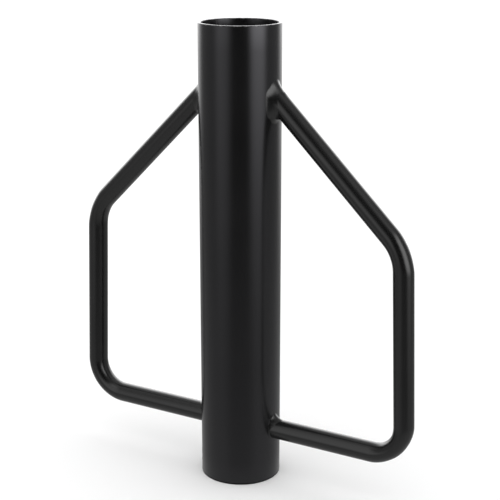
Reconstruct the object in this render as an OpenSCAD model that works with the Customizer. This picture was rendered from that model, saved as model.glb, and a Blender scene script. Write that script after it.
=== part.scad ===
// Manual post driver: a steel pipe barrel, closed at one end by a welded strike plate,
// with a bent tube handle welded to each side. It stands on its closed end, open mouth up.
// The origin is the centre of the closed end, and the handles lie in the XZ plane.

/* [Barrel] */
// Outer diameter of the barrel pipe
barrel_d = 108; // [100:1:120]
// Wall thickness of the barrel pipe
barrel_wall = 4; // [3:0.5:6]
// Length of the barrel pipe
barrel_l = 618; // [600:1:640]
// Radius that the pipe's cut edges are rounded to
rim_round = 1; // [0.5:0.25:1.5]

/* [Strike plate] */
// Thickness of the strike plate
plate_t = 10; // [8:1:20]
// Depth that the plate sits inside the closed end
plate_recess = 5; // [4:0.5:8]
// Radial depth of the turned seat that locates the plate in the pipe
seat_cut = 1.2; // [0.8:0.1:1.5]
// Radial gap that lets the plate slip into its seat
plate_gap = 0.2; // [0.1:0.1:0.3]
// Chamfer on the plate's edges
plate_chamfer = 0.5; // [0.25:0.25:1]
// Leg of the fillet weld that holds the plate
plate_weld_leg = 4; // [3:0.5:4]

/* [Handles] */
// Outer diameter of the handle tube
tube_d = 26.9; // [24:0.1:29]
// Wall thickness of the handle tube
tube_wall = 2; // [1.5:0.25:3]
// Height of the lower bar's centreline
lower_bar_z = 72; // [60:0.5:90]
// Reach of the lower corner's centreline from the barrel axis
corner_reach = 246; // [230:0.5:260]
// Distance between the two corners of the centreline
grip_l = 275.5; // [250:0.5:290]
// Angle that the lower corner turns through
lower_turn = 92.2; // [90:0.1:94]
// Angle that the upper corner turns through
upper_turn = 43.5; // [42:0.1:46]
// Centreline radius of the lower bend
lower_bend_r = 45; // [40:1:55]
// Centreline radius of the upper bend
upper_bend_r = 70; // [55:1:80]
// How much the tube's radius shrinks where it is bent
bend_draw = 0.05; // [0.05:0.05:0.3]

/* [Handle welds] */
// Legs of a lower weld on the barrel: at the top of the bar, at its sides, under it
lower_barrel_legs = [9, 3, 2.5]; // [2:0.5:11]
// Legs of a lower weld along the bar: at its top, at its sides, under it
lower_bar_legs = [13, 5.5, 5]; // [4:0.5:14]
// How hollow a lower weld's face is: 0 is flat
lower_hollow = 0.15; // [0:0.05:0.7]
// Legs of an upper weld on the barrel: at the top of the bar, at its sides, under it
upper_barrel_legs = [3, 7, 10.5]; // [2:0.5:12]
// Legs of an upper weld along the bar: at its top, at its sides, under it
upper_bar_legs = [16, 13, 10.5]; // [6:0.5:16]
// How hollow an upper weld's face is: 0 is flat
upper_hollow = 0.5; // [0:0.05:0.7]
// Number of flats around a handle weld
weld_steps = 48; // [24:4:96]
// Number of flats across the face of a handle weld
weld_rows = 4; // [2:2:6]

/* [Hidden] */
$fn = 192;

paint = [0.13, 0.13, 0.14];
bead_paint = [0.20, 0.20, 0.21];
barrel_r = barrel_d / 2;
bore_r = barrel_r - barrel_wall;
seat_r = bore_r + seat_cut;
seat_l = plate_recess + plate_t;
plate_r = seat_r - plate_gap;
tube_r = tube_d / 2;
// Directions in the XZ plane, counter-clockwise from +X
grip_dir = lower_turn;
upper_bar_dir = lower_turn + upper_turn;
// Corners of the centreline, before the bends round them
lower_corner = [corner_reach, lower_bar_z];
upper_corner = lower_corner + grip_l * heading(grip_dir);
// Straight lengths that each bend takes off its two sides
lower_set_back = lower_bend_r * tan(lower_turn / 2);
upper_set_back = upper_bend_r * tan(upper_turn / 2);
// The bars run on to this distance from the axis before the barrel's outside is cut away
cope_x = barrel_r - 12;
// Depths that a weld's root and toes are sunk by before its parents are cut away
weld_root_sink = 1;
weld_toe_sink = 0.3;
// Length that each straight runs into a bend, which is a hair thinner
bend_lap = 1;
// Straight lengths of the tube
lower_bar_l = corner_reach - lower_set_back - cope_x;
grip_run_l = grip_l - lower_set_back - upper_set_back;
upper_bar_l = (upper_corner.x - cope_x) / -cos(upper_bar_dir) - upper_set_back;

function heading(angle) = [cos(angle), sin(angle)];

// Moves its children a length along local +X, the way the tube runs
module after(length) {
    translate([length, 0, 0]) children();
}

// Carries its children round a bend that turns the tube towards local +Z
module round_bend(bend_r, turn) {
    translate([0, 0, bend_r])
        rotate([0, -turn, 0])
            translate([0, 0, -bend_r])
                children();
}

// A straight bar along local +X, from one length to another
module straight(from, to, r) {
    translate([from, 0, 0])
        rotate([0, 90, 0])
            cylinder(h = to - from, r = r);
}

// A bend of the bar from local +X towards local +Z
module bend(bend_r, turn, r) {
    translate([0, 0, bend_r])
        rotate([90, 0, 0])
            rotate([0, 0, -90])
                rotate_extrude(angle = turn)
                    translate([bend_r, 0])
                        circle(r = r);
}

// The handle's centreline, thickened to radius r, on the +X side
module handle_run(r) {
    translate([cope_x, 0, lower_bar_z]) union() {
        straight(0, lower_bar_l + bend_lap, r);
        after(lower_bar_l) {
            bend(lower_bend_r, lower_turn, r - bend_draw);
            round_bend(lower_bend_r, lower_turn) {
                straight(-bend_lap, grip_run_l + bend_lap, r);
                after(grip_run_l) {
                    bend(upper_bend_r, upper_turn, r - bend_draw);
                    round_bend(upper_bend_r, upper_turn)
                        straight(-bend_lap, upper_bar_l, r);
                }
            }
        }
    }
}

// A hollow handle tube, its ends coped to sit on the barrel
module handle() {
    color(paint) difference() {
        handle_run(tube_r);
        handle_run(tube_r - tube_wall);
        cylinder(h = barrel_l, r = barrel_r);
    }
}

// A length that changes smoothly round a bar: legs are its values at the top, the sides and under
function leg(legs, phi) =
    let (crest = sin(phi) > 0 ? legs[0] : legs[2])
    legs[1] * cos(phi) ^ 2 + crest * sin(phi) ^ 2;

// Point [x, y, z] where a line along a bar meets the barrel, moved on by distance along.
// The bar's axis meets the barrel at height z and leaves it at angle dir above level,
// and the line runs at distance r from that axis, at angle phi round it.
function saddle(z, dir, r, phi, along) =
    let (
        y = r * cos(phi),
        across = r * sin(phi) * [-sin(dir), cos(dir)],
        onto = (sqrt(barrel_r * barrel_r - y * y) - barrel_r - across.x) / cos(dir),
        xz = [barrel_r, z] + across + (onto + along) * heading(dir)
    )
    [xz.x, y, xz.y];

// Corners of a weld's section at angle phi: the root, then its face from barrel toe to bar toe.
// The face is drawn towards the root by its hollow. The root and toes are sunk a little,
// and the barrel and the tube are cut away after.
function weld_section(z, dir, barrel_leg, bar_leg, hollow, phi) =
    let (
        root = saddle(z, dir, tube_r - weld_root_sink, phi, -weld_root_sink),
        barrel_toe = saddle(z, dir, tube_r + barrel_leg, phi, -weld_toe_sink),
        bar_toe = saddle(z, dir, tube_r - weld_toe_sink, phi, bar_leg),
        middle = (barrel_toe + bar_toe) / 2,
        pull = middle + hollow * (root - middle)
    )
    [
        root,
        for (k = [0 : weld_rows])
            let (t = k / weld_rows)
            barrel_toe * (1 - t) ^ 2 + pull * 2 * t * (1 - t) + bar_toe * t ^ 2
    ];

// A fillet weld round the joint of a bar and the barrel, on the +X side.
// barrel_legs and bar_legs are its legs [at the top of the bar, at its sides, under it].
module handle_weld(z, dir, barrel_legs, bar_legs, hollow) {
    corners = weld_rows + 2;
    points = [
        for (i = [0 : weld_steps - 1])
            let (phi = 360 * i / weld_steps)
            each weld_section(z, dir, leg(barrel_legs, phi), leg(bar_legs, phi), hollow, phi)
    ];
    faces = [
        for (i = [0 : weld_steps - 1], k = [0 : corners - 1])
            let (
                next_i = (i + 1) % weld_steps,
                next_k = (k + 1) % corners,
                a = i * corners + k,
                b = i * corners + next_k,
                c = next_i * corners + next_k,
                d = next_i * corners + k
            )
            each [[a, b, c], [a, c, d]]
    ];
    color(bead_paint) difference() {
        polyhedron(points = points, faces = faces);
        cylinder(h = barrel_l, r = barrel_r);
        translate([barrel_r, 0, z])
            rotate([0, 90 - dir, 0])
                translate([0, 0, -tube_d])
                    cylinder(h = 3 * tube_d, r = tube_r);
    }
}

module lower_weld() {
    handle_weld(lower_bar_z, 0, lower_barrel_legs, lower_bar_legs, lower_hollow);
}

module upper_weld() {
    upper_bar_z = upper_corner.y
        + (upper_corner.x - barrel_r) * tan(180 - upper_bar_dir);
    handle_weld(upper_bar_z, upper_bar_dir - 180, upper_barrel_legs, upper_bar_legs, upper_hollow);
}

// Half of the pipe's wall in section: its four edges rounded, then the seat cut at the foot
module pipe_wall() {
    difference() {
        union() {
            translate([bore_r, rim_round])
                square([barrel_wall, barrel_l - 2 * rim_round]);
            translate([bore_r + rim_round, 0])
                square([barrel_wall - 2 * rim_round, barrel_l]);
            for (x = [bore_r + rim_round, barrel_r - rim_round],
                y = [rim_round, barrel_l - rim_round])
                translate([x, y])
                    circle(r = rim_round);
        }
        translate([0, -1])
            square([seat_r, seat_l + 1]);
    }
}

module barrel() {
    color(paint) rotate_extrude() pipe_wall();
}

module strike_plate() {
    color(paint) translate([0, 0, plate_recess]) union() {
        cylinder(h = plate_chamfer, r1 = plate_r - plate_chamfer, r2 = plate_r);
        translate([0, 0, plate_chamfer])
            cylinder(h = plate_t - 2 * plate_chamfer, r = plate_r);
        translate([0, 0, plate_t - plate_chamfer])
            cylinder(h = plate_chamfer, r1 = plate_r, r2 = plate_r - plate_chamfer);
    }
}

// Fillet weld in the recess, between the plate's outer face and the seat's wall
module plate_weld() {
    bulge = plate_weld_leg / 2;
    inner_r = plate_r - plate_chamfer - plate_weld_leg;
    color(bead_paint) rotate_extrude()
        polygon([
            [seat_r, plate_recess - plate_weld_leg],
            [seat_r, plate_recess],
            [inner_r, plate_recess],
            [inner_r + bulge, plate_recess - bulge]
        ]);
}

module right_handle() {
    handle();
}

module left_handle() {
    mirror([1, 0, 0]) handle();
}

barrel();
strike_plate();
plate_weld();
left_handle();
right_handle();
mirror([1, 0, 0]) lower_weld();  // left_lower_weld
mirror([1, 0, 0]) upper_weld();  // left_upper_weld
lower_weld();  // right_lower_weld
upper_weld();  // right_upper_weld
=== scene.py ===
"""Looks for the post driver: detailed pieces over the CAD frame, its black coat, and a studio.

Everything is in metres in the CAD's frame: the barrel stands on z = 0 and the handles lie in
the XZ plane, the right one at +X.
"""
from math import asin, cos, pi, radians, sin, sqrt, tan

import bpy
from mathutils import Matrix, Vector, noise


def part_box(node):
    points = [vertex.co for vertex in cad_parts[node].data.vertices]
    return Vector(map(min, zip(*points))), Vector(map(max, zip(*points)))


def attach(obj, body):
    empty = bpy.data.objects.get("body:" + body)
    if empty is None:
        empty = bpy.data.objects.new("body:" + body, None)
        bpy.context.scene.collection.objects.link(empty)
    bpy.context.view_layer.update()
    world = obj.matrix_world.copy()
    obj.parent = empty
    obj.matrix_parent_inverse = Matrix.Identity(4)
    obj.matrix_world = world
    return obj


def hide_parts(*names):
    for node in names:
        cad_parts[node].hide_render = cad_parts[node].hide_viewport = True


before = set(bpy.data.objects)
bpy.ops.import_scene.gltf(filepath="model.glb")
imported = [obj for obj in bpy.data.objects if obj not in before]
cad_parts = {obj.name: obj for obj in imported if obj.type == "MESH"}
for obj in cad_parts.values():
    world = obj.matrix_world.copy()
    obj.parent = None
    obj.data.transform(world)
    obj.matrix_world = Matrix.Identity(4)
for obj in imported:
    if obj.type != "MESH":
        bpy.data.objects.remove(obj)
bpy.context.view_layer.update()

MM = 0.001

# The pipe and its strike plate
BARREL_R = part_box("barrel")[1].y
BORE_R = 50 * MM
SEAT_R = 51.2 * MM
BARREL_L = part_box("barrel")[1].z
RIM_ROUND = 1 * MM
EDGE_BREAK = 0.3 * MM
PLATE_LOW, PLATE_HIGH = (corner.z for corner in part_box("strike_plate"))
PLATE_R = 51 * MM
PLATE_EDGE = 0.5 * MM
# The caps of the plate fan out from rings of this radius
PLATE_CAP_R = 20 * MM
PIPE_SEGMENTS = 256
PLATE_SEGMENTS = 192

# The handle tube's centreline: lower bar, lower bend, grip, upper bend, upper bar
TUBE_R = 13.45 * MM
LOWER_BAR_Z = 72 * MM
CORNER_REACH = 246 * MM
GRIP_L = 275.5 * MM
LOWER_TURN = radians(92.2)
UPPER_TURN = radians(43.5)
LOWER_BEND_R = 45 * MM
UPPER_BEND_R = 70 * MM
TUBE_SIDES = 64
STATION_GAP = 4 * MM
# How far the tube is flattened in its lower and upper bends, and the share of a bend at each of
# its ends over which that eases in
FLATTENING = {"left": (0.04, 0.06), "right": (0.10, 0.05)}
FLATTENING_EASE = 0.35
# Tube ends and weld roots are hidden this deep in the pipe's wall
SINK = 1.5 * MM

# Handle welds, each measure given round the bar: at its top, its upper side, its side, its lower
# side and under it. The legs lie on the barrel and along the bar. A face is flat where its weight
# is 0, hollow and blended into both surfaces where it is more, and it swells where it is less.
LOWER_WELD = {"barrel_leg": (9, 3, 1, 1, 2), "bar_leg": (14, 9, 2.5, 2.5, 4),
              "weight": (0.4, 0.3, 0.5, 0.5, 0.4)}
UPPER_WELD = {"barrel_leg": (5, 4.5, 9, 13, 11), "bar_leg": (22, 18, 22, 18, 12),
              "weight": (0.9, 1.1, 0.9, 0.5, 0.4)}
WELD_STEPS = 240
WELD_ROWS = 20
RIPPLES = 38
RIPPLE_DEPTH = 0.04 * MM
# How far a ripple's ends lag behind its middle, and how far the ripples sink into the face
RIPPLE_LAG = 3
RIPPLE_MEAN = 0.6
# How much the legs on the barrel and along the bar wander, and how quickly round the bar
BARREL_LEG_WANDER = 0.05
BAR_LEG_WANDER = 0.04
WANDER_RATE = 1.6
TOE_SINK = 0.35 * MM

# The ring weld in the recess
PLATE_WELD_LEG = 4 * MM
PLATE_WELD_BULGE = 0.7 * MM
PLATE_WELD_STEPS = 480
PLATE_WELD_ROWS = 10
PLATE_WELD_RIPPLES = 110
PLATE_WELD_LAG = 1.2

# The camera stands back from this height of the barrel's axis and aims a little to its right
CAMERA_AZIMUTH = radians(31.21)
CAMERA_ELEVATION = radians(15.93)
CAMERA_DISTANCE = 1.6671
CAMERA_LENS_MM = 90.05
VIEW_HEIGHT = 0.3171
AIM_RIGHT = 0.0128

FLOOR_HALF = 15.0

# Edges that turn by more than this are shaded sharp
SHARP_FROM = radians(50)

# Sizes of the coat's pattern, as noise scales: the larger the finer
CLOUD_SCALE = 9
DUST_SCALE = 900
PEEL_SCALE = 520
GRAIN_SCALE = 2600
CHIP_SCALE = 260
# The ragged upper edge of the painted shade along the foot
PAINTED_SHADE_SCALE = 180
STREAK_SCALE = 420
# Streaks are stretched down the bore by this factor of their scale
STREAK_STRETCH = 0.012
DRAG_STRENGTH = 0.15

DUST_COLOUR = (0.06, 0.06, 0.058, 1)
BARE_STEEL = (0.23, 0.225, 0.22, 1)
# Near-black colour of the painted shade along the foot, standing in for the dark reflection of the
# shadowed floor under the closed end
PAINTED_SHADE_COLOUR = (0.004, 0.004, 0.004, 1)
# The barrel's gloss is a little bluer than the handles'
BARREL_TINT = (0.95, 0.94, 1.0)


def mesh_object(name, verts, faces, material):
    """A smooth piece that rides on the part and takes its finish from the material it is given."""
    mesh = bpy.data.meshes.new(name)
    mesh.from_pydata(verts, [], faces)
    mesh.polygons.foreach_set("use_smooth", [True] * len(mesh.polygons))
    mesh.materials.append(material)
    mesh.update()
    mesh.set_sharp_from_angle(angle=SHARP_FROM)
    obj = bpy.data.objects.new(name, mesh)
    bpy.context.collection.objects.link(obj)
    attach(obj, "root")
    return obj


def grid_faces(rows, columns, close_rows=False):
    """Quads over a grid of points whose columns close on themselves, and its rows if asked."""
    faces = []
    for i in range(rows if close_rows else rows - 1):
        for k in range(columns):
            next_i = (i + 1) % rows
            next_k = (k + 1) % columns
            faces.append((i * columns + k, i * columns + next_k,
                          next_i * columns + next_k, next_i * columns + k))
    return faces


def arc(centre, radius, start, end, steps):
    """Points on an arc in the plane, angles in radians."""
    angles = [start + (end - start) * i / steps for i in range(steps + 1)]
    return [(centre[0] + radius * cos(a), centre[1] + radius * sin(a)) for a in angles]


def revolve(name, outline, segments, material):
    """A closed outline of (radius, z) turned round the Z axis."""
    verts = []
    for radius, z in outline:
        for k in range(segments):
            angle = 2 * pi * k / segments
            verts.append((radius * cos(angle), radius * sin(angle), z))
    faces = [face[::-1] for face in grid_faces(len(outline), segments, close_rows=True)]
    return mesh_object(name, verts, faces, material)


def pipe_outline():
    """The pipe wall's section, counter-clockwise: rounded cut edges, and the plate's seat."""
    rings = 20
    top = BARREL_L - RIM_ROUND
    outer = [(BARREL_R, RIM_ROUND + (top - RIM_ROUND) * i / rings) for i in range(1, rings)]
    inner = [(BORE_R, top - (top - PLATE_HIGH) * i / rings) for i in range(1, rings + 1)]
    return (arc((BARREL_R - RIM_ROUND, RIM_ROUND), RIM_ROUND, -pi / 2, 0, 5)
            + outer
            + arc((BARREL_R - RIM_ROUND, top), RIM_ROUND, 0, pi / 2, 5)
            + arc((BORE_R + RIM_ROUND, top), RIM_ROUND, pi / 2, pi, 5)
            + inner
            + [(SEAT_R, PLATE_HIGH)]
            + arc((SEAT_R + EDGE_BREAK, EDGE_BREAK), EDGE_BREAK, pi, 1.5 * pi, 3))


def disc(name, outline, segments, material):
    """An outline of (radius, z) that starts and ends near the axis, turned and capped there."""
    verts = []
    for radius, z in outline:
        for k in range(segments):
            angle = 2 * pi * k / segments
            verts.append((radius * cos(angle), radius * sin(angle), z))
    faces = [face[::-1] for face in grid_faces(len(outline), segments)]
    for row, turn in ((0, 1), (len(outline) - 1, -1)):
        centre = len(verts)
        verts.append((0, 0, outline[row][1]))
        for k in range(segments):
            edge = (row * segments + k, row * segments + (k + 1) % segments)
            faces.append((*edge[::-turn], centre))
    return mesh_object(name, verts, faces, material)


def handle_path():
    """Stations (position, tangent, bend share) of the right handle's centreline.

    Position and tangent are (x, z), and the bend share is (lower, upper): how far into each
    bend's flattening the station is, from 0 to 1.
    """
    lower_back = LOWER_BEND_R * tan(LOWER_TURN / 2)
    upper_back = UPPER_BEND_R * tan(UPPER_TURN / 2)
    runs = [("straight", CORNER_REACH - lower_back - BORE_R),
            ("lower", LOWER_BEND_R, LOWER_TURN),
            ("straight", GRIP_L - lower_back - upper_back),
            ("upper", UPPER_BEND_R, UPPER_TURN),
            ("straight", 0)]
    x, z, heading = BORE_R, LOWER_BAR_Z, 0.0
    stations = []
    for run in runs:
        if run[0] == "straight":
            length = run[1] or (x - BORE_R) / -cos(heading)
            steps = max(1, round(length / (4 * STATION_GAP)))
            for i in range(steps + (run is runs[-1])):
                along = length * i / steps
                stations.append(((x + along * cos(heading), z + along * sin(heading)),
                                 (cos(heading), sin(heading)), (0.0, 0.0)))
            x, z = x + length * cos(heading), z + length * sin(heading)
            continue
        bend, bend_r, turn = run
        centre = (x - bend_r * sin(heading), z + bend_r * cos(heading))
        steps = round(bend_r * turn / (STATION_GAP / 2))
        for i in range(steps):
            share = i / steps
            angle = heading + turn * share
            deep = smooth_step(min(share, 1 - share) / FLATTENING_EASE)
            stations.append(((centre[0] + bend_r * sin(angle), centre[1] - bend_r * cos(angle)),
                             (cos(angle), sin(angle)),
                             (deep, 0.0) if bend == "lower" else (0.0, deep)))
        heading += turn
        x, z = centre[0] + bend_r * sin(heading), centre[1] - bend_r * cos(heading)
    return stations


def smooth_step(value):
    """0 below 0, 1 above 1, and a smooth climb between."""
    value = min(max(value, 0.0), 1.0)
    return value * value * (3 - 2 * value)


def onto_barrel(point, direction, radius):
    """The point moved along a direction in the XZ plane until it is at a radius from the axis."""
    a = direction.x ** 2
    b = 2 * point.x * direction.x
    c = point.x ** 2 + point.y ** 2 - radius ** 2
    root = sqrt(b * b - 4 * a * c)
    shifts = ((-b - root) / (2 * a), (-b + root) / (2 * a))
    shift = max(shifts, key=lambda s: point.x + s * direction.x)
    return point + shift * direction


def handle(side, material):
    """One bent tube, flattened a little in its bends, its ends hidden in the pipe's wall."""
    mirror = -1 if side == "left" else 1
    lower_flat, upper_flat = FLATTENING[side]
    stations = handle_path()
    verts = []
    for i, (place, tangent, bends) in enumerate(stations):
        flat = lower_flat * bends[0] + upper_flat * bends[1]
        centre = Vector((place[0], 0, place[1]))
        along = Vector((tangent[0], 0, tangent[1]))
        inward = Vector((-tangent[1], 0, tangent[0]))
        for k in range(TUBE_SIDES):
            angle = 2 * pi * k / TUBE_SIDES
            point = (centre
                     + inward * TUBE_R * (1 - flat) * cos(angle)
                     + Vector((0, TUBE_R * (1 + flat / 3) * sin(angle), 0)))
            if i in (0, len(stations) - 1):
                point = onto_barrel(point, along, BARREL_R - SINK)
            verts.append((mirror * point.x, point.y, point.z))
    faces = grid_faces(len(stations), TUBE_SIDES)
    for row, turn in ((0, 1), (len(stations) - 1, -1)):
        ring = [row * TUBE_SIDES + k for k in range(TUBE_SIDES)]
        faces.append(tuple(ring[::turn]))
    if side == "right":
        faces = [face[::-1] for face in faces]
    obj = mesh_object(side + "_handle_tube", verts, faces, material)
    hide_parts(side + "_handle")
    return obj


def around(measures, phi):
    """A weld's measure at an angle round its bar, eased between the five that are given."""
    down = (1 - asin(min(max(sin(phi), -1.0), 1.0)) / (pi / 2)) * (len(measures) - 1) / 2
    first = min(int(down), len(measures) - 2)
    share = smooth_step(down - first)
    return measures[first] * (1 - share) + measures[first + 1] * share


def saddle(height, heading, radius, phi, along):
    """Where a line along a bar meets the barrel, moved on by a distance along the bar."""
    across = Vector((-sin(heading), 0, cos(heading))) * radius * sin(phi)
    start = Vector((BARREL_R, 0, height)) + across + Vector((0, radius * cos(phi), 0))
    way = Vector((cos(heading), 0, sin(heading)))
    return onto_barrel(start, way, BARREL_R) + way * along


def handle_weld(name, side, height, heading, shape, material):
    """A rippled fillet round the joint of a bar and the barrel."""
    mirror = -1 if side == "left" else 1
    seed = sum(map(ord, name))
    verts = []
    for i in range(WELD_STEPS):
        phi = 2 * pi * i / WELD_STEPS
        wander = noise.noise(Vector((WANDER_RATE * cos(phi), WANDER_RATE * sin(phi), seed)))
        barrel_leg = around(shape["barrel_leg"], phi) * MM * (1 + BARREL_LEG_WANDER * wander)
        bar_leg = around(shape["bar_leg"], phi) * MM * (1 - BAR_LEG_WANDER * wander)
        root = saddle(height, heading, TUBE_R - SINK, phi, -SINK)
        barrel_toe = saddle(height, heading, TUBE_R + barrel_leg, phi, -TOE_SINK)
        bar_toe = saddle(height, heading, TUBE_R - TOE_SINK, phi, bar_leg)
        corner = saddle(height, heading, TUBE_R, phi, 0)
        weight = around(shape["weight"], phi)
        outward = ((barrel_toe + bar_toe) / 2 - root).normalized()
        verts.append(root)
        for k in range(WELD_ROWS):
            t = smooth_step(k / (WELD_ROWS - 1))
            shares = ((1 - t) ** 2, 2 * t * (1 - t) * weight, t ** 2)
            curve = barrel_toe * shares[0] + corner * shares[1] + bar_toe * shares[2]
            curve = curve / sum(shares)
            swell = sin(pi * t)
            crescent = RIPPLES * phi + RIPPLE_LAG * (2 * t - 1) ** 2
            ripple = RIPPLE_DEPTH * (abs(sin(crescent / 2)) - RIPPLE_MEAN) * swell
            verts.append(curve + outward * ripple)
    faces = grid_faces(WELD_STEPS, WELD_ROWS + 1, close_rows=True)
    if side == "right":
        faces = [face[::-1] for face in faces]
    verts = [(mirror * v.x, v.y, v.z) for v in verts]
    obj = mesh_object(name + "_bead", verts, faces, material)
    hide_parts(name)
    return obj


def plate_weld(material):
    """The rippled ring weld in the recess, between the plate's face and the bore."""
    outer = SEAT_R + TOE_SINK
    inner = PLATE_R - PLATE_EDGE - PLATE_WELD_LEG
    verts = []
    for i in range(PLATE_WELD_STEPS):
        angle = 2 * pi * i / PLATE_WELD_STEPS
        ring = [(outer, PLATE_LOW + TOE_SINK)]
        for k in range(PLATE_WELD_ROWS):
            t = k / (PLATE_WELD_ROWS - 1)
            radius = outer + (inner - outer) * t
            bulge = PLATE_WELD_BULGE * sin(pi * t)
            crescent = PLATE_WELD_RIPPLES * angle / 2 + PLATE_WELD_LAG * (2 * t - 1) ** 2
            ripple = RIPPLE_DEPTH * (abs(sin(crescent)) - RIPPLE_MEAN)
            height = PLATE_LOW - PLATE_WELD_LEG * (1 - t) - (bulge + ripple * sin(pi * t))
            ring.append((radius, height + TOE_SINK * t))
        verts += [(r * cos(angle), r * sin(angle), z) for r, z in ring]
    faces = [face[::-1] for face in grid_faces(PLATE_WELD_STEPS, PLATE_WELD_ROWS + 1, close_rows=True)]
    obj = mesh_object("plate_weld_bead", verts, faces, material)
    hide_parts("plate_weld")
    return obj


class Nodes:
    """A short way to make and join shader nodes."""

    def __init__(self, tree):
        self.tree = tree
        tree.nodes.clear()

    def new(self, kind, **settings):
        node = self.tree.nodes.new(kind)
        for key, value in settings.items():
            setattr(node, key, value)
        return node

    def join(self, source, target):
        self.tree.links.new(source, target)

    def math(self, operation, *values, clamp=False):
        node = self.new("ShaderNodeMath", operation=operation, use_clamp=clamp)
        for socket, value in zip(node.inputs, values):
            self.put(value, socket)
        return node.outputs[0]

    def put(self, value, socket):
        """Joins a socket to another, or sets its value."""
        if isinstance(value, bpy.types.NodeSocket):
            self.join(value, socket)
        else:
            socket.default_value = value

    def noise(self, place, scale, detail=2.0, roughness=0.5):
        node = self.new("ShaderNodeTexNoise")
        self.put(place, node.inputs["Vector"])
        node.inputs["Scale"].default_value = scale
        node.inputs["Detail"].default_value = detail
        node.inputs["Roughness"].default_value = roughness
        return node.outputs["Fac"]

    def ramp(self, value, low, high, to_low=0.0, to_high=1.0):
        """A smooth climb from to_low at low to to_high at high."""
        node = self.new("ShaderNodeMapRange", interpolation_type="SMOOTHSTEP")
        for socket, v in zip(node.inputs, (value, low, high, to_low, to_high)):
            self.put(v, socket)
        return node.outputs[0]

    def mix(self, share, first, second):
        """A colour between two."""
        node = self.new("ShaderNodeMix", data_type="RGBA")
        self.put(share, node.inputs["Factor"])
        self.put(first, node.inputs["A"])
        self.put(second, node.inputs["B"])
        return node.outputs["Result"]


def black_coat(name, shade, roughness, peel, wear=None, painted_shade=None, tint=(1, 1, 1)):
    """Satin black powder coat. wear(nodes, place) gives where its edges are rubbed to the steel,
    and the function after it gives where painted shade darkens and dulls the coat, both 0 to 1."""
    material = bpy.data.materials.new(name)
    material.use_nodes = True
    nodes = Nodes(material.node_tree)
    place = nodes.new("ShaderNodeTexCoord").outputs["Object"]
    shader = nodes.new("ShaderNodeBsdfPrincipled")
    output = nodes.new("ShaderNodeOutputMaterial")
    nodes.join(shader.outputs[0], output.inputs[0])

    cloud = nodes.noise(place, CLOUD_SCALE, 2)
    dust = nodes.ramp(nodes.noise(place, DUST_SCALE, 3, 0.7), 0.60, 0.78)
    tone = nodes.mix(cloud, (shade * 0.75,) * 3 + (1,), (shade * 1.25,) * 3 + (1,))
    colour = nodes.mix(nodes.math("MULTIPLY", dust, 0.12), tone, DUST_COLOUR)
    rough = nodes.ramp(cloud, 0.3, 0.7, roughness - 0.015, roughness + 0.02)
    rough = nodes.math("ADD", rough, nodes.math("MULTIPLY", dust, 0.08))
    metal = 0.0
    if wear:
        rubbed = wear(nodes, place)
        colour = nodes.mix(rubbed, colour, BARE_STEEL)
        rough = nodes.math("SUBTRACT", rough, nodes.math("MULTIPLY", rubbed, 0.05))
        metal = nodes.math("MULTIPLY", rubbed, 0.8)
    # Painted shade: under this mask the coat turns near black, rougher and metallic over its
    # near-black base, so it hardly reflects anything
    if painted_shade:
        shade_share = painted_shade(nodes, place)
        colour = nodes.mix(shade_share, colour, PAINTED_SHADE_COLOUR)
        rough = nodes.math("ADD", rough, nodes.math("MULTIPLY", shade_share, 0.25))
        metal = nodes.math("MAXIMUM", metal, shade_share)
    nodes.put(metal, shader.inputs["Metallic"])
    nodes.join(colour, shader.inputs["Base Color"])
    nodes.join(rough, shader.inputs["Roughness"])
    shader.inputs["IOR"].default_value = 1.5
    shader.inputs["Specular Tint"].default_value = (*tint, 1)

    skin = nodes.new("ShaderNodeBump")
    skin.inputs["Strength"].default_value = 0.6
    skin.inputs["Distance"].default_value = peel
    nodes.join(nodes.noise(place, PEEL_SCALE, 2), skin.inputs["Height"])
    grain = nodes.new("ShaderNodeBump")
    grain.inputs["Strength"].default_value = 0.4
    grain.inputs["Distance"].default_value = peel / 6
    nodes.join(nodes.noise(place, GRAIN_SCALE, 2), grain.inputs["Height"])
    nodes.join(skin.outputs[0], grain.inputs["Normal"])
    nodes.join(grain.outputs[0], shader.inputs["Normal"])
    return material


def rim_wear(nodes, place):
    """Chipped and rubbed coat on the last millimetres of the mouth."""
    parts = nodes.new("ShaderNodeSeparateXYZ")
    nodes.join(place, parts.inputs[0])
    mouth = nodes.ramp(parts.outputs["Z"], BARREL_L - 1.6 * MM, BARREL_L - 0.1 * MM)
    chips = nodes.ramp(nodes.noise(place, CHIP_SCALE, 4, 0.7), 0.50, 0.62)
    return nodes.math("MULTIPLY", mouth, chips)


def foot_painted_shade(nodes, place):
    """Painted shade on the last millimetres of the closed end, standing in for the dark reflection of
    the shadowed floor under it, with a broken upper edge.
    """
    parts = nodes.new("ShaderNodeSeparateXYZ")
    nodes.join(place, parts.inputs[0])
    ragged = nodes.math("MULTIPLY", nodes.noise(place, PAINTED_SHADE_SCALE, 3, 0.6), 1.6 * MM)
    edge = nodes.math("ADD", ragged, 1.2 * MM)
    return nodes.ramp(nodes.math("SUBTRACT", parts.outputs["Z"], edge), 0.5 * MM, -0.5 * MM)


def bore_and_rim_wear(nodes, place):
    """The rim's wear, and lengthwise drag marks of posts down the bore."""
    parts = nodes.new("ShaderNodeSeparateXYZ")
    nodes.join(place, parts.inputs[0])
    squares = [nodes.math("MULTIPLY", parts.outputs[axis], parts.outputs[axis]) for axis in "XY"]
    radius = nodes.math("SQRT", nodes.math("ADD", *squares))
    inside = nodes.ramp(radius, BORE_R + 0.6 * MM, BORE_R + 0.1 * MM)
    stretch = nodes.new("ShaderNodeMapping")
    nodes.join(place, stretch.inputs["Vector"])
    stretch.inputs["Scale"].default_value = (1, 1, STREAK_STRETCH)
    streaks = nodes.ramp(nodes.noise(stretch.outputs[0], STREAK_SCALE, 3, 0.6), 0.58, 0.72)
    drag = nodes.math("MULTIPLY", nodes.math("MULTIPLY", inside, streaks), DRAG_STRENGTH)
    return nodes.math("MAXIMUM", rim_wear(nodes, place), drag)


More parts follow.
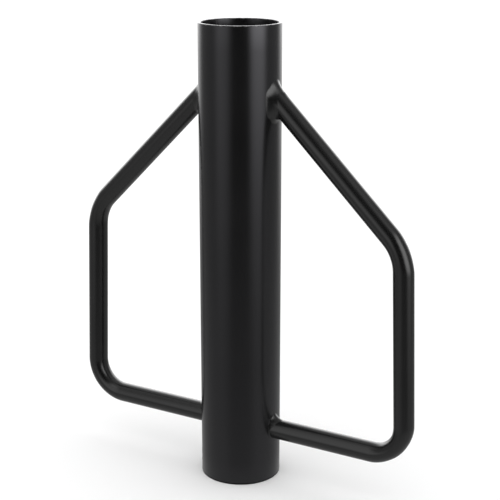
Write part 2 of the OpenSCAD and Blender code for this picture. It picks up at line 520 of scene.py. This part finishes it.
def floor_material():
    """Matt white paper, clear from below so that the underside can be looked at."""
    material = bpy.data.materials.new("studio_floor")
    material.use_nodes = True
    nodes = Nodes(material.node_tree)
    paper = nodes.new("ShaderNodeBsdfDiffuse")
    paper.inputs["Color"].default_value = (0.92, 0.92, 0.92, 1)
    clear = nodes.new("ShaderNodeBsdfTransparent")
    below = nodes.new("ShaderNodeNewGeometry").outputs["Backfacing"]
    either = nodes.new("ShaderNodeMixShader")
    nodes.join(below, either.inputs[0])
    nodes.join(paper.outputs[0], either.inputs[1])
    nodes.join(clear.outputs[0], either.inputs[2])
    output = nodes.new("ShaderNodeOutputMaterial")
    nodes.join(either.outputs[0], output.inputs[0])
    return material


def floor():
    """A wide pale floor that the driver stands on."""
    corners = [(-1, -1), (1, -1), (1, 1), (-1, 1)]
    mesh = bpy.data.meshes.new("studio_floor")
    mesh.from_pydata([(x * FLOOR_HALF, y * FLOOR_HALF, 0) for x, y in corners], [], [(0, 1, 2, 3)])
    mesh.materials.append(floor_material())
    obj = bpy.data.objects.new("studio_floor", mesh)
    bpy.context.collection.objects.link(obj)
    obj.visible_glossy = False


# The studio that the coat's gloss sees, as soft lights in a dark room. Angles are in degrees,
# azimuths from the camera with its right positive, elevations from the horizon. A light fades
# over its edge, half of it inside its half width and half height and half of it outside.
SOFT_LIGHTS = {
    "key": {"azimuth": 50, "elevation": 18, "half_width": 21, "half_height": 25,
            "edge": 22, "level": 3.1},
    "fill": {"azimuth": -48, "elevation": 25, "half_width": 20, "half_height": 35,
             "edge": 22, "level": 0.9},
    "backdrop": {"azimuth": 180, "elevation": 16, "half_width": 46, "half_height": 20,
                 "edge": 30, "level": 2.6},
    "walls": {"azimuth": 180, "elevation": 40, "half_width": 142, "half_height": 60,
              "edge": 36, "level": 0.34},
    "ceiling": {"azimuth": 0, "elevation": 90, "half_width": 180, "half_height": 45,
                "edge": 30, "level": 0.35},
    "floor": {"azimuth": 0, "elevation": -90, "half_width": 180, "half_height": 68,
              "edge": 24, "level": 0.5},
}
# How bright the white surround is to the floor and to the coat's matt share
DOME = 1.22


def soft_light(nodes, azimuth, elevation, light):
    """The brightness that one soft light adds in a direction, given in degrees."""
    off_centre = nodes.math("SUBTRACT", azimuth, light["azimuth"])
    turns = nodes.math("ADD", nodes.math("DIVIDE", off_centre, 360), 1.5)
    half_turns = nodes.math("SUBTRACT", nodes.math("FRACT", turns), 0.5)
    across = nodes.math("MULTIPLY", nodes.math("ABSOLUTE", half_turns), 360)
    upward = nodes.math("ABSOLUTE", nodes.math("SUBTRACT", elevation, light["elevation"]))
    half_edge = light["edge"] / 2
    width, height = light["half_width"], light["half_height"]
    sides = nodes.ramp(across, width + half_edge, width - half_edge) if width < 180 else 1.0
    ends = nodes.ramp(upward, height + half_edge, height - half_edge)
    return nodes.math("MULTIPLY", nodes.math("MULTIPLY", sides, ends), light["level"])


def studio_world():
    """A white surround for the eye and the floor, and a softly lit studio for the coat's gloss."""
    world = bpy.data.worlds.new("studio")
    world.use_nodes = True
    world.cycles.sampling_method = "NONE"
    bpy.context.scene.world = world
    nodes = Nodes(world.node_tree)
    way = nodes.new("ShaderNodeSeparateXYZ")
    nodes.join(nodes.new("ShaderNodeTexCoord").outputs["Generated"], way.inputs[0])
    x, y, z = way.outputs
    heading = nodes.math("ARCTAN2", x, nodes.math("MULTIPLY", y, -1.0))
    azimuth = nodes.math("DEGREES", nodes.math("SUBTRACT", heading, CAMERA_AZIMUTH))
    elevation = nodes.math("DEGREES", nodes.math("ARCSINE", z))
    seen = 0.0
    for light in SOFT_LIGHTS.values():
        seen = nodes.math("ADD", soft_light(nodes, azimuth, elevation, light), seen)
    ray = nodes.new("ShaderNodeLightPath")
    glossy = ray.outputs["Is Glossy Ray"]
    camera_ray = ray.outputs["Is Camera Ray"]
    dome = nodes.math("ADD", DOME, nodes.math("MULTIPLY", camera_ray, 1 - DOME))
    shown = nodes.math("ADD", nodes.math("MULTIPLY", glossy, seen),
                       nodes.math("MULTIPLY", nodes.math("SUBTRACT", 1.0, glossy), dome))
    background = nodes.new("ShaderNodeBackground")
    background.inputs["Color"].default_value = (1, 1, 1, 1)
    nodes.join(shown, background.inputs["Strength"])
    output = nodes.new("ShaderNodeOutputWorld")
    nodes.join(background.outputs[0], output.inputs[0])


def camera():
    """The camera, standing back at its azimuth and elevation."""
    back = Vector((sin(CAMERA_AZIMUTH) * cos(CAMERA_ELEVATION),
                   -cos(CAMERA_AZIMUTH) * cos(CAMERA_ELEVATION),
                   sin(CAMERA_ELEVATION)))
    right = Vector((cos(CAMERA_AZIMUTH), sin(CAMERA_AZIMUTH), 0))
    centre = Vector((0, 0, VIEW_HEIGHT))
    data = bpy.data.cameras.new("camera")
    data.sensor_width = 36
    data.lens = CAMERA_LENS_MM
    obj = bpy.data.objects.new("camera", data)
    obj.location = centre + back * CAMERA_DISTANCE
    aim = centre + right * AIM_RIGHT
    obj.rotation_euler = (aim - obj.location).to_track_quat("-Z", "Y").to_euler()
    bpy.context.collection.objects.link(obj)
    bpy.context.scene.camera = obj


def build():
    """Makes every piece over the CAD frame."""
    # The barrel's coat takes the rim and bore wear, and the painted shade along its foot
    barrel_coat = black_coat("barrel_coat", 0.005, 0.22, 0.03 * MM, bore_and_rim_wear,
                             foot_painted_shade, BARREL_TINT)
    handle_coat = black_coat("handle_coat", 0.005, 0.22, 0.03 * MM)
    weld_coat = black_coat("weld_coat", 0.006, 0.24, 0.04 * MM)
    plate_coat = black_coat("plate_coat", 0.008, 0.36, 0.05 * MM)

    pipe = revolve("barrel_pipe", pipe_outline(), PIPE_SEGMENTS, barrel_coat)
    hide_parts("barrel")
    edge_low = arc((PLATE_R - PLATE_EDGE, PLATE_LOW + PLATE_EDGE), PLATE_EDGE, -pi / 2, 0, 4)
    edge_high = arc((PLATE_R - PLATE_EDGE, PLATE_HIGH - PLATE_EDGE), PLATE_EDGE, 0, pi / 2, 4)
    plate_outline = [(PLATE_CAP_R, PLATE_LOW)] + edge_low + edge_high + [(PLATE_CAP_R, PLATE_HIGH)]
    plate = disc("strike_plate_disc", plate_outline, PLATE_SEGMENTS, plate_coat)
    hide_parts("strike_plate")
    plate_weld(weld_coat)
    upper_heading = LOWER_TURN + UPPER_TURN - pi
    corner_x = CORNER_REACH + GRIP_L * cos(LOWER_TURN)
    corner_z = LOWER_BAR_Z + GRIP_L * sin(LOWER_TURN)
    upper_height = corner_z - (corner_x - BARREL_R) * tan(upper_heading)
    for side in ("left", "right"):
        handle(side, handle_coat)
        handle_weld(side + "_lower_weld", side, LOWER_BAR_Z, 0.0, LOWER_WELD, weld_coat)
        handle_weld(side + "_upper_weld", side, upper_height, upper_heading, UPPER_WELD, weld_coat)


build()
floor()
studio_world()
camera()
bpy.context.scene.view_settings.view_transform = "Standard"
